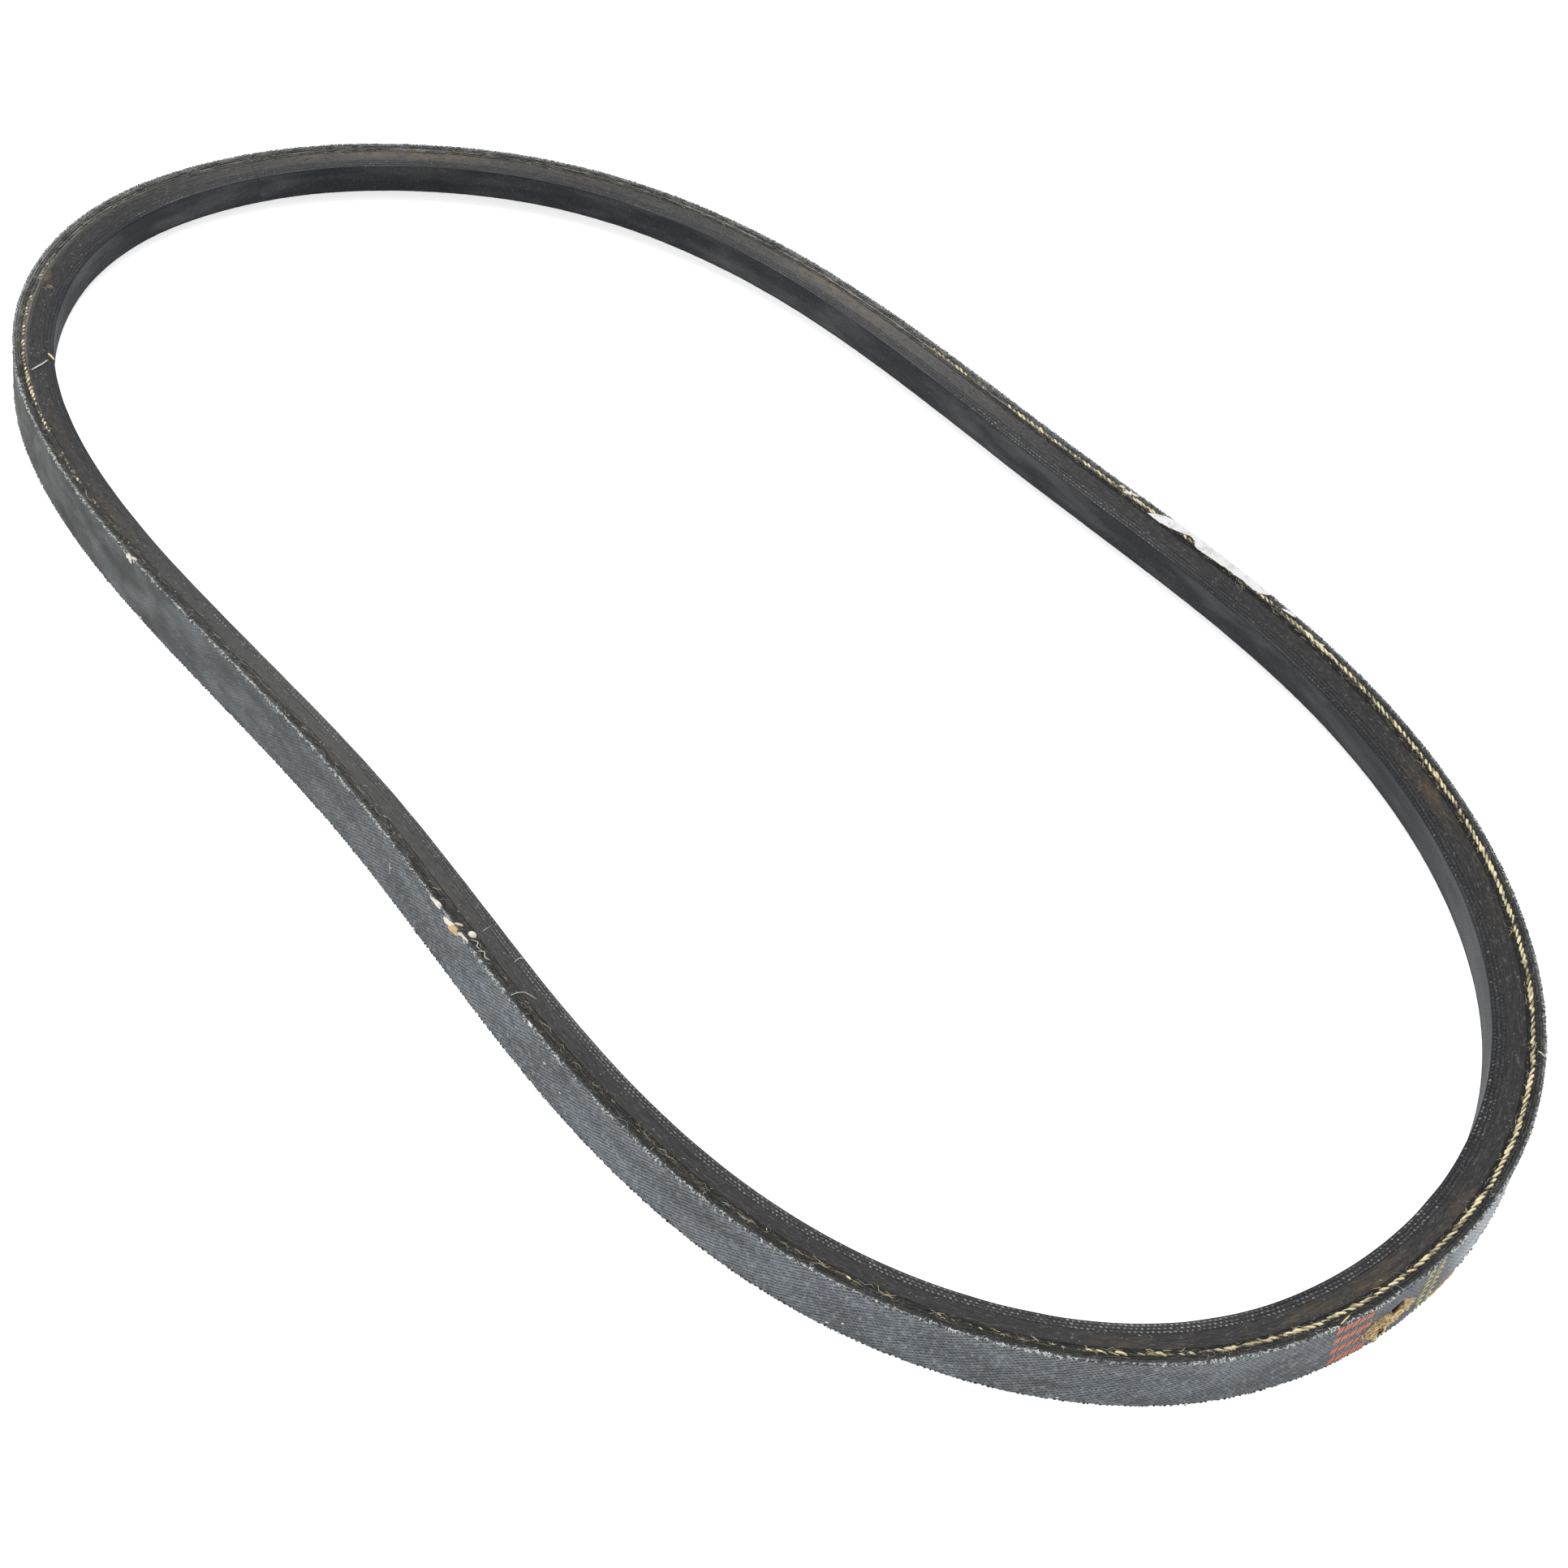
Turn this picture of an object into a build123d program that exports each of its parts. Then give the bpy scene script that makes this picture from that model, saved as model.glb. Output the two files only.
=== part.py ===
from build123d import *
import math
import os

# Raw-edge laminated V-belt, relaxed and lying on its side, in millimetres.
# The loop lies in the XY plane, and X is its long direction. Z is the direction of the pulley shafts, and
# Z = 0 is the middle of the belt's width. The origin is the middle of the loop's box.
# Every layer is a band between two depths, and depth is measured from the back towards the pulleys.

# Section
TOP_WIDTH = 13.0
BELT_DEPTH = 10.0
GROOVE_ANGLE = 30.0

# Layers, from the back towards the pulleys
COVER_PLY = 0.65
OVERCORD_GUM = 0.6
CUSHION_GUM = 0.85
BASE_PLY = 0.85

# Tensile cord, wound in one layer of turns across the belt. Its twisted strands are pressed flat where they
# meet the gum, so its section is drawn with flats, and its diameter is measured across their corners.
CORD_DIAMETER = 1.4
CORD_FLATS = 12
CORD_PITCH = 1.6
WHOLE_TURNS = 6

# Depths of the bonds between the layers
COVER_BOND = COVER_PLY
OVERCORD_BACK = 2 * COVER_PLY
CUSHION_BACK = OVERCORD_BACK + OVERCORD_GUM
CORD_DEPTH = CUSHION_BACK + CUSHION_GUM
RUBBER_BACK = CORD_DEPTH + CUSHION_GUM
BASE_BACK = BELT_DEPTH - 3 * BASE_PLY
BASE_BOND_UPPER = BELT_DEPTH - 2 * BASE_PLY
BASE_BOND_LOWER = BELT_DEPTH - BASE_PLY

# What is left of a paper label: scraps stuck to the upper flank, along the back edge.
# Each scrap is a stretch of the loop from one share of its length to another.
PAPER_THICKNESS = 0.12
PAPER_OUTER_DEPTH = 0.1
PAPER_INNER_DEPTH = 2.3
PAPER_SCRAPS = [(0.663, 0.667), (0.672, 0.706)]

# The relaxed loop: points along the middle of the back, counterclockwise from the left end.
# Both ends are round, and the long side at -Y is drawn slightly inwards.
BACK_POINTS = [
    (-229.0, -18.5),
    (-209.0, -70.0),
    (-176.0, -94.5),
    (-127.0, -108.0),
    (18.5, -107.0),
    (165.0, -98.5),
    (219.0, -51.5),
    (216.5, 40.0),
    (127.0, 103.0),
    (10.5, 110.0),
    (-112.5, 104.0),
    (-180.5, 74.5),
    (-214.0, 36.0),
]


def back_line():
    """The closed curve along the middle of the belt's back, with its box centred on the origin."""
    line = Spline(*BACK_POINTS, periodic=True)
    return line.moved(Location(-line.bounding_box().center()))


def half_width(depth):
    """Half the belt's width at a depth: each flank leans in by half the groove angle."""
    return TOP_WIDTH / 2 - depth * math.tan(math.radians(GROOVE_ANGLE / 2))


def section_plane(line):
    """The belt's section at the start of a line: local X is depth and local Y is the row's Z."""
    along = line % 0
    inwards = Vector(-along.Y, along.X, 0)
    return Plane(origin=line @ 0, x_dir=inwards, z_dir=-along)


def layer_section(outer_depth, inner_depth):
    """The slice of the belt's trapezoid between two depths."""
    outer = half_width(outer_depth)
    inner = half_width(inner_depth)
    corners = [(outer_depth, -outer), (inner_depth, -inner), (inner_depth, inner), (outer_depth, outer)]
    return make_face(Polyline(*corners, close=True))


def cord_section(turn):
    """The section of one turn, counted from the lowest turn that is wholly inside the belt."""
    height = (turn - (WHOLE_TURNS - 1) / 2) * CORD_PITCH
    return Pos(CORD_DEPTH, height) * RegularPolygon(CORD_DIAMETER / 2, CORD_FLATS)


def all_cord_sections():
    """Every turn's section: the whole turns, and at both flanks a turn that the flank cuts open."""
    return [cord_section(turn) for turn in range(-1, WHOLE_TURNS + 1)]


def carry_round(section):
    """Sweep a section once round the whole loop."""
    line = back_line()
    return sweep(section_plane(line) * section, path=line)


def plain_layer(outer_depth, inner_depth):
    """A layer with flat faces, such as a fabric ply."""
    return carry_round(layer_section(outer_depth, inner_depth))


def cushion_layer(outer_depth, inner_depth):
    """A gum layer on one side of the cord, with a groove for each turn."""
    return carry_round(layer_section(outer_depth, inner_depth) - all_cord_sections())


def tensile_cord():
    """The turns that lie wholly inside the belt."""
    turns = [carry_round(cord_section(turn)) for turn in range(WHOLE_TURNS)]
    return Compound(children=[turn.solid() for turn in turns])


def edge_cord(turn):
    """A turn at one flank, cut open by it along its whole length."""
    inside = layer_section(CUSHION_BACK, RUBBER_BACK)
    return carry_round(inside & cord_section(turn))


def paper_scrap(start, end):
    """A thin strip of paper stuck to the upper flank along one stretch of the loop."""
    line = back_line().trim(start, end)
    lean = math.radians(GROOVE_ANGLE / 2)
    lift = (PAPER_THICKNESS * math.sin(lean), PAPER_THICKNESS * math.cos(lean))
    near = (PAPER_OUTER_DEPTH, half_width(PAPER_OUTER_DEPTH))
    far = (PAPER_INNER_DEPTH, half_width(PAPER_INNER_DEPTH))
    corners = [near, far, (far[0] + lift[0], far[1] + lift[1]), (near[0] + lift[0], near[1] + lift[1])]
    section = make_face(Polyline(*corners, close=True))
    return sweep(section_plane(line) * section, path=line)


def paper_scraps():
    """All the paper that is left on the belt."""
    return Compound(children=[paper_scrap(start, end).solid() for start, end in PAPER_SCRAPS])


SUB_PARTS = {
    "back_cover_outer_ply": plain_layer(0, COVER_BOND),
    "back_cover_inner_ply": plain_layer(COVER_BOND, OVERCORD_BACK),
    "overcord_gum": plain_layer(OVERCORD_BACK, CUSHION_BACK),
    "upper_cushion_gum": cushion_layer(CUSHION_BACK, CORD_DEPTH),
    "tensile_cord": tensile_cord(),
    "edge_cord_top": edge_cord(WHOLE_TURNS),
    "edge_cord_bottom": edge_cord(-1),
    "lower_cushion_gum": cushion_layer(CORD_DEPTH, RUBBER_BACK),
    "compression_rubber": plain_layer(RUBBER_BACK, BASE_BACK),
    "base_ply_outer": plain_layer(BASE_BACK, BASE_BOND_UPPER),
    "base_ply_middle": plain_layer(BASE_BOND_UPPER, BASE_BOND_LOWER),
    "base_ply_inner": plain_layer(BASE_BOND_LOWER, BELT_DEPTH),
    "paper_label_scraps": paper_scraps(),
}

os.makedirs("parts", exist_ok=True)
for name, shape in SUB_PARTS.items():
    export_step(shape, f"parts/{name}.step")
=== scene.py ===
import math

import bpy
import numpy as np
from mathutils import Matrix, Quaternion, Vector


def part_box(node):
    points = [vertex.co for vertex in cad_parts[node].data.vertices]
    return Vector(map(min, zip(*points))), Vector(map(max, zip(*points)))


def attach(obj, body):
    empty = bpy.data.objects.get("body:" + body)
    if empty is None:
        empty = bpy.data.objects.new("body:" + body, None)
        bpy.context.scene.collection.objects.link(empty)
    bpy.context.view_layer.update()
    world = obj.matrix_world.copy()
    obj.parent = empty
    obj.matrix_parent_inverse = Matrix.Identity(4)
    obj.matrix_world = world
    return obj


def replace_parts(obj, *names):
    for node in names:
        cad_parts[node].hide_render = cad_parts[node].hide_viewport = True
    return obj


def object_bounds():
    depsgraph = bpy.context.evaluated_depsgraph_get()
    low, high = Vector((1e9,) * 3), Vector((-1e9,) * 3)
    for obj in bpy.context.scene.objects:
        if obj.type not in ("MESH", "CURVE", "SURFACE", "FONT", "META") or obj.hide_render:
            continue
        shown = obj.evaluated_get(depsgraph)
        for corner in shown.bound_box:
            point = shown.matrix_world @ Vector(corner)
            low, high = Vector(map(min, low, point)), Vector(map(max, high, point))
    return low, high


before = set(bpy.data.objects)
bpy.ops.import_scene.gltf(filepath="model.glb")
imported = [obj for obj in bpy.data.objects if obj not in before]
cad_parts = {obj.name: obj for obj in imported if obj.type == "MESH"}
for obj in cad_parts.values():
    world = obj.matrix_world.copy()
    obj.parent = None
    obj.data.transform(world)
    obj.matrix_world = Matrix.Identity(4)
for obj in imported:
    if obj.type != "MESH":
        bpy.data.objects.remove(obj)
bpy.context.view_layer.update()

# A used raw-edge V-belt lying on its side. Inside this script the belt is described in millimetres by three
# numbers: how far along the loop (from its left end, counterclockwise), the depth below the back, and the
# height from the middle of the belt's width. place() turns those into the frame's metres. A list of stops has
# values at shares of the loop, from 0 to 1, and the value runs straight from one stop to the next.
MM = 0.001
rng = np.random.default_rng(13)

# How much brighter the studio shows a surface than its own colour, and the glow that keeps the floor white
STUDIO_GAIN = 1.35
FLOOR_GLOW = 0.69

LAYERS = [
    "back_cover_outer_ply",
    "back_cover_inner_ply",
    "overcord_gum",
    "upper_cushion_gum",
    "lower_cushion_gum",
    "compression_rubber",
    "base_ply_outer",
    "base_ply_middle",
    "base_ply_inner",
]

# The relaxed belt leans in and out a little as it goes round: (harmonic, cosine, sine) in degrees.
LEAN_HARMONICS = [(0, 2.8, 0.0), (1, -2.1, 8.4), (2, -2.3, 3.3)]

# A step longer than any face, which leaves the face undivided, and how much of its own texture a face that
# lies hidden against the next layer gets
UNDIVIDED = 99.0
HIDDEN_SHARE = 0.03

# Cord at the flanks: strands laid round each other and cut off level, CORD_CUT above the flank
STRANDS = 3
STRAND_RADIUS = 0.29
STRAND_OFFSET = 0.31
CORD_LAY = 5.4
CORD_CUT = 0.3
LOWER_CORD_STAND = -0.5
CORD_STEP = 0.32
CORD_SIDES = 6

# Cord inside the belt
INNER_TURNS = 6
INNER_RADIUS = 0.7
INNER_STEP = 2.0

# How far the cord's middle stands out of the upper flank, in mm. It is wound in a helix, so the flank cuts it
# open over one stretch and only grazes it over the rest.
CORD_STAND = [
    (0.00, -1.00), (0.03, -0.90), (0.06, -0.66), (0.08, -0.60), (0.11, -0.46), (0.145, -0.40), (0.17, -0.72),
    (0.20, -1.00), (0.37, -0.90), (0.40, -0.66), (0.43, -0.54), (0.47, -0.42), (0.51, -0.28), (0.60, -0.26),
    (0.64, -0.32), (0.66, -0.40), (0.76, -0.40), (0.79, -0.58), (0.82, -0.90), (1.00, -1.00),
]

# How bright the cord's yarn is, from 0 to 1: grey with rubber on the left, clean on the right
CORD_SHADE = [
    (0.00, 0.34), (0.10, 0.46), (0.14, 0.52), (0.20, 0.44), (0.40, 0.40), (0.46, 0.38), (0.53, 0.48),
    (0.60, 0.50), (0.64, 0.47), (0.72, 0.50), (0.80, 0.42), (1.00, 0.34),
]

# How far the cord's line has wandered towards the back, in mm
CORD_DRIFT = [
    (0.00, 0.2), (0.05, 0.3), (0.10, 0.2), (0.14, 0.15), (0.40, 0.1), (0.46, 0.3), (0.57, 0.35), (0.61, 0.65),
    (0.66, 0.95), (0.73, 0.95), (0.78, 0.65), (0.84, 0.6), (0.92, 0.3), (1.00, 0.2),
]

# How pale the upper flank is rubbed (below 0, how dark), in zones across its depth, and the same for the
# base face and the back; on the back the paleness is partly a painted highlight
RIM_PALE = [
    (0.00, 0.78), (0.05, 0.95), (0.10, 0.75), (0.13, 0.2), (0.20, 0.4), (0.25, 0.4), (0.30, 0.3),
    (0.34, 0.18), (0.42, 0.18), (0.50, 0.14), (0.58, 0.18), (0.65, 0.2), (0.72, 0.4), (0.80, 1.0),
    (0.88, 1.05), (0.94, 0.85), (1.00, 0.78),
]
LINE_PALE = [
    (0.00, 0.68), (0.06, 0.85), (0.13, 0.45), (0.18, 0.22), (0.24, 0.42), (0.30, 0.3), (0.36, 0.16),
    (0.42, 0.14), (0.50, 0.14), (0.62, 0.2), (0.70, 0.6), (0.76, 1.05), (0.82, 1.4), (0.88, 1.0), (0.94, 0.8),
    (1.00, 0.68),
]
CORE_PALE = [
    (0.00, 0.1), (0.05, -0.04), (0.14, -0.1), (0.19, 0.06), (0.25, 0.14), (0.30, 0.1), (0.34, 0.02),
    (0.40, -0.12), (0.52, -0.12), (0.58, -0.32), (0.68, -0.25), (0.72, -0.08), (0.77, 0.12), (0.82, 0.28),
    (0.87, 0.1), (0.91, 0.06), (0.97, 0.16), (1.00, 0.1),
]
PLY_PALE = [
    (0.00, 0.1), (0.05, 0.0), (0.14, 0.0), (0.20, 0.14), (0.26, 0.2), (0.32, 0.14), (0.40, 0.02),
    (0.47, 0.04), (0.56, -0.3), (0.66, -0.2), (0.71, 0.08), (0.77, 0.1), (0.82, 0.18), (0.90, 0.08),
    (0.97, 0.08), (1.00, 0.1),
]
BASE_PALE = [
    (0.00, -0.05), (0.07, 0.0), (0.50, 0.0), (0.58, -0.1), (0.64, -0.3), (0.72, -0.15), (0.80, -0.12),
    (0.88, -0.35), (0.95, -0.6), (1.00, -0.25),
]
# On the back, the rise from 0.51 to 0.56 is a painted highlight where the cover turns towards the light, and
# the dip from 0.13 to 0.27 is only darker
BACK_PALE_AND_HIGHLIGHT = [
    (0.00, 0.0), (0.13, -1.0), (0.17, -0.75), (0.22, -0.6), (0.27, -0.3), (0.33, 0.02), (0.44, 0.0),
    (0.50, 0.04), (0.510, 0.12), (0.520, 0.8), (0.56, 0.9), (0.60, 0.1), (1.00, 0.0),
]

# Brown dust and rust marks on the flank: share of the loop, depth, length and width in mm, strength
FLANK_DUST = [
    (0.954, 4.5, 22, 2.6, 0.9), (0.98, 3.5, 14, 2.0, 0.5), (0.905, 4.0, 16, 2.0, 0.5),
    (0.839, 3.6, 14, 2.4, 0.9), (0.82, 4.6, 18, 2.4, 0.6), (0.77, 4.4, 16, 1.8, 0.35),
    (0.626, 5.2, 12, 2.2, 0.9), (0.60, 4.2, 12, 2.0, 0.35), (0.52, 4.8, 9, 2.0, 0.6),
    (0.496, 5.0, 12, 2.4, 0.8), (0.478, 5.6, 9, 1.6, 0.6), (0.455, 4.6, 12, 1.6, 0.35),
    (0.14, 5.2, 22, 2.6, 0.3), (0.172, 4.6, 14, 2.6, 0.36), (0.11, 6.0, 12, 2.0, 0.25),
    (0.075, 4.4, 4, 1.3, 0.9), (0.251, 1.2, 2.5, 1.2, 1.0), (0.30, 4.2, 18, 1.8, 0.2),
]

# The rubber that is squeezed up beside the cord round the left end: share, depth, length, width and height
RIDGE_PLACE = (0.085, 3.35, 62, 0.5)
RIDGE_HEIGHT = 0.16

# Shares of the loop, and reaches in mm to both sides: where the base face is faded, where a trace of the cord
# shows between its bared stretches, and a tuft of rust
FADED_BASE = (0.565, 80)
CORD_TRACE = (0.40, 70)
RUST_TUFT = (0.078, 1.6)

# Slanting yarns that the cuts have opened: the ends of the base plies' on the flank, as shares of the loop
# and reaches in mm over which they are rubbed dark, and the stubs of the cover's along the corner
YARN_END_PITCH = 1.15
YARN_END_SLANT = math.radians(-24)
YARN_END_SIZE = (0.72, 0.4)
DARK_YARN_ENDS = [(0.62, 110), (0.93, 200), (0.14, 80)]
STUB_PITCH = 1.05
CLEAN_STUBS = (0.32, 130)

# The gash torn in the cover by a bolt head or a stone, as ovals on the back. Each has its share of the loop,
# height, half length, half width and slant.
GASH_BODY = (0.4970, -0.1, 5.2, 1.8, math.radians(15))
GASH_LOBE = (0.4958, -4.0, 3.2, 1.7, math.radians(-68))
# The deep places in the gash: the relief sinks there, and the colour gets painted shade
GASH_PITS = [
    (0.4962, -4.4, 1.7, 1.1, math.radians(-60)),
    (0.4990, 1.7, 2.6, 0.6, math.radians(12)),
    (0.4980, 0.3, 1.0, 0.8, 0.0),
    (0.4946, -1.6, 1.6, 0.4, math.radians(15)),
]

# Worn printed marks on the back
RED_SHARE = 0.4853
RED_ROWS = [-5.1, -1.7, 1.8, 5.1]
YELLOW_SHARE = 0.5048
CHEVRON_SLANT = math.radians(35)

# Torn paper: shares of the loop, then stops of (part of the length, upper edge, lower edge) in mm of depth
BIG_SCRAP = (0.6868, 0.7222, [
    (0.00, 0.30, 0.50), (0.02, 0.1, 1.2), (0.06, 0.0, 2.1), (0.12, 0.0, 2.3), (0.20, 0.0, 2.1),
    (0.30, 0.0, 2.3), (0.42, 0.0, 2.6), (0.52, 0.0, 2.8), (0.60, 0.0, 2.75), (0.63, 0.0, 1.4),
    (0.68, 0.0, 1.3), (0.74, 0.0, 1.9), (0.82, 0.1, 3.0), (0.90, 0.6, 3.3), (0.95, 1.6, 3.45),
    (1.00, 3.0, 3.3),
])
SMALL_SCRAP = (0.6786, 0.6826, [(0.0, 0.5, 0.6), (0.3, 0.25, 1.1), (0.7, 0.45, 1.25), (1.0, 1.1, 1.3)])

# Dried glue and bared cotton: share of the loop, place across, length and width. The flakes that hang on the
# upper corner also have their slant, height and shade.
CORNER_FLAKES = [
    (0.1886, -0.5, 3.0, 2.0, 0.5, 0.4, 0.95),
    (0.1898, 0.5, 1.6, 1.0, 0.1, 0.3, 0.85),
    (0.3026, -0.1, 4.2, 1.5, 0.1, 0.3, 0.98),
    (0.3072, -0.8, 4.4, 1.7, 0.25, 0.3, 0.97),
    (0.3090, -0.9, 4.0, 2.1, 0.35, 0.45, 0.6),
    (0.3088, 1.4, 2.0, 0.7, 0.9, 0.35, 0.78),
    (0.3118, 0.2, 2.6, 0.9, 0.0, 0.3, 0.95),
    (0.3345, 0.1, 1.5, 0.9, 0.2, 0.3, 0.95),
]
WHITE_BLOB = [(0.3117, 2.5, 1.9, 1.7)]
BACK_SPECKS = [
    (0.1949, -6.1, 1.0, 0.5), (0.2973, -6.2, 0.9, 0.5), (0.2873, 0.75, 0.9, 0.2), (0.4065, -3.4, 0.6, 0.4),
    (0.404, -5.2, 1.0, 0.3), (0.441, -5.6, 0.7, 0.35), (0.34, 1.8, 1.2, 0.25), (0.345, -1.0, 0.5, 0.3),
]
GLUE_SMEARS = [
    (0.7292, 1.2, 4.2, 1.3), (0.7262, 1.7, 2.4, 0.8), (0.6738, 1.5, 3.8, 0.7), (0.6702, 1.6, 3.4, 0.8),
    (0.6668, 1.7, 3.4, 0.7), (0.7320, 1.1, 1.8, 0.8),
]
BARED_COTTON = [(0.5098, -6.15, 3.0, 0.8), (0.5122, -6.2, 3.2, 1.0), (0.5148, -6.2, 3.4, 0.9)]


# ---------- the loop and its section

def node_box(name):
    low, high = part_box(name)
    return np.array(low) / MM, np.array(high) / MM


def section_from_frame():
    """Depths of the layers' faces from the back to the base, half the back's width, and the flank's slope."""
    boxes = [node_box(name) for name in LAYERS]
    back_low, back_high = boxes[0]
    depths = [back_high[0] - high[0] for low, high in boxes]
    depths.append(2 * depths[-1] - depths[-2])
    half_top = (back_high[2] - back_low[2]) / 2
    base_low, base_high = boxes[-1]
    slope = (half_top - (base_high[2] - base_low[2]) / 2) / depths[-2]
    return np.array(depths), half_top, slope


DEPTHS, HALF_TOP, FLANK_SLOPE = section_from_frame()
CORD_DEPTH = DEPTHS[LAYERS.index("lower_cushion_gum")]
FLANK_LEAN = math.atan(FLANK_SLOPE)


def half_width(depth):
    return HALF_TOP - depth * FLANK_SLOPE


def loop_from_frame(samples=4096, harmonics=40):
    """The middle of the back as a smooth closed curve, read from the upper corner of the cover ply."""
    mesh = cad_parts[LAYERS[0]].data
    points = np.array([v.co for v in mesh.vertices]) / MM
    rim = points[points[:, 2] > points[:, 2].max() - 0.01][:, :2]
    inward = np.hypot(rim[:, 0], rim[:, 1])
    angle = np.round(np.arctan2(rim[:, 1], rim[:, 0]), 4)
    order = np.lexsort((-inward, angle))
    keep = [order[0]]
    for index in order[1:]:
        if angle[index] > angle[keep[-1]] + 1e-3:
            keep.append(index)
    ring = rim[keep]
    closed = np.vstack([ring, ring[:1]])
    run = np.concatenate([[0], np.cumsum(np.hypot(*np.diff(closed, axis=0).T))])
    even = np.linspace(0, run[-1], samples, endpoint=False)
    curve = np.interp(even, run, closed[:, 0]) + 1j * np.interp(even, run, closed[:, 1])
    waves = np.fft.fft(curve)
    number = np.fft.fftfreq(samples, 1 / samples)
    waves[np.abs(number) > harmonics] = 0
    smooth = np.fft.ifft(waves)
    along = np.fft.ifft(waves * 1j * number)
    along /= np.abs(along)
    left_end = np.argmin(np.where(smooth.real < 0, np.abs(smooth.imag), np.inf))
    return np.roll(smooth, -left_end), np.roll(-1j * along, -left_end), run[-1]


LOOP, OUTWARD, LENGTH = loop_from_frame()


def along_table(table, s):
    """Reads a table of values round the loop at distances s, in mm."""
    where = np.asarray(s, float) / LENGTH * len(table)
    low = np.floor(where).astype(int)
    part = where - low
    return table[low % len(table)] * (1 - part) + table[(low + 1) % len(table)] * part


def lean(s):
    turn = 2 * np.pi * np.asarray(s, float) / LENGTH
    degrees = sum(c * np.cos(k * turn) + n * np.sin(k * turn) for k, c, n in LEAN_HARMONICS)
    return np.radians(degrees)


def place(s, depth, height):
    """The frame's metres for points given along the loop, below the back and across the width."""
    s, depth, height = np.broadcast_arrays(np.asarray(s, float), depth, height)
    tilt = lean(s)
    out = -depth * np.cos(tilt) - height * np.sin(tilt)
    up = -depth * np.sin(tilt) + height * np.cos(tilt)
    middle = along_table(LOOP, s) + along_table(OUTWARD, s) * out
    return np.stack([middle.real, middle.imag, up], axis=-1) * MM


def at_share(share):
    return share * LENGTH


def from_stops(stops, s):
    shares, values = np.array(stops).T
    return np.interp((np.asarray(s) / LENGTH) % 1, shares, values)


def round_loop(step):
    """Even distances once round the loop, about step mm apart, as a column."""
    rings = int(round(LENGTH / step))
    return np.arange(rings)[:, None] * LENGTH / rings


def round_angles(sides):
    return np.arange(sides) * 2 * np.pi / sides


def smooth_noise(u, v, cell_u, cell_v, seed):
    """Smooth random values from -1 to 1 that repeat after one loop in u."""
    random = np.random.default_rng(seed)
    cells_u = max(2, int(round(LENGTH / cell_u)))
    cells_v = 64
    lattice = random.uniform(-1, 1, (cells_u, cells_v))
    u, v = np.broadcast_arrays(np.asarray(u, float), np.asarray(v, float))
    x = u / LENGTH * cells_u
    y = v / cell_v + 17.3
    i, j = np.floor(x).astype(int), np.floor(y).astype(int)
    a, b = x - i, y - j
    a, b = a * a * (3 - 2 * a), b * b * (3 - 2 * b)
    row, column = i % cells_u, j % cells_v
    next_row, next_column = (i + 1) % cells_u, (j + 1) % cells_v
    near = lattice[row, column] * (1 - a) + lattice[next_row, column] * a
    far = lattice[row, next_column] * (1 - a) + lattice[next_row, next_column] * a
    return near * (1 - b) + far * b


# ---------- surfaces that small things lie on

def flank_surface(side):
    """The upper (side 1) or lower (side -1) flank. across is the depth, and proud is how far out of it."""
    def surface(s, across, proud):
        height = half_width(across) + proud * math.cos(FLANK_LEAN)
        return place(s, across + proud * math.sin(FLANK_LEAN), side * height)
    return surface


def back_surface(s, across, proud):
    return place(s, -proud, across)


def corner_surface(side):
    """The rounded corner between the back and a flank. across runs from the back (below 0) to the flank."""
    def surface(s, across, proud):
        flankward = np.clip(across / 0.5 + 0.5, 0, 1)
        over = np.maximum(across, 0)
        depth = over * math.cos(FLANK_LEAN) - proud * (1 - flankward)
        height = HALF_TOP + np.minimum(across, 0) - over * math.sin(FLANK_LEAN) + proud * flankward
        return place(s, depth, side * height)
    return surface


# ---------- meshes

def new_piece(name, vertices, faces, material, uv, coords=None, tint=None, pale=None):
    """A mesh object that rides on the belt. coords, tint and pale are kept as attributes for the material."""
    mesh = bpy.data.meshes.new(name)
    mesh.from_pydata(np.reshape(vertices, (-1, 3)).tolist(), [], np.reshape(faces, (-1, 4)).tolist())

    def fill(layer, key, values):
        layer.data.foreach_set(key, np.ascontiguousarray(values, dtype=np.float32).ravel())

    if coords is not None:
        fill(mesh.attributes.new("belt", "FLOAT_VECTOR", "POINT"), "vector", coords)
    for label, values in (("tint", tint), ("pale", pale)):
        if values is not None:
            fill(mesh.attributes.new(label, "FLOAT", "POINT"), "value", values)
    fill(mesh.uv_layers.new(name="OFBake"), "uv", uv)
    mesh.polygons.foreach_set("use_smooth", [True] * len(mesh.polygons))
    mesh.materials.append(material)
    mesh.update()
    piece = bpy.data.objects.new(name, mesh)
    bpy.context.scene.collection.objects.link(piece)
    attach(piece, "root")
    return piece


def ring_faces(rings, corners):
    """The quads of a closed tube round the loop."""
    i, k = np.meshgrid(np.arange(rings), np.arange(corners), indexing="ij")
    here, ahead = i * corners, (i + 1) % rings * corners
    beside = (k + 1) % corners
    return np.stack([here + k, ahead + k, ahead + beside, here + beside], axis=-1)


def grid_faces(grids, rows, columns):
    """The quads of many open grids of rows by columns points."""
    g, i, j = np.meshgrid(np.arange(grids), np.arange(rows - 1), np.arange(columns - 1), indexing="ij")
    here = (g * rows + i) * columns + j
    return np.stack([here, here + columns, here + columns + 1, here + 1], axis=-1)


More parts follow.
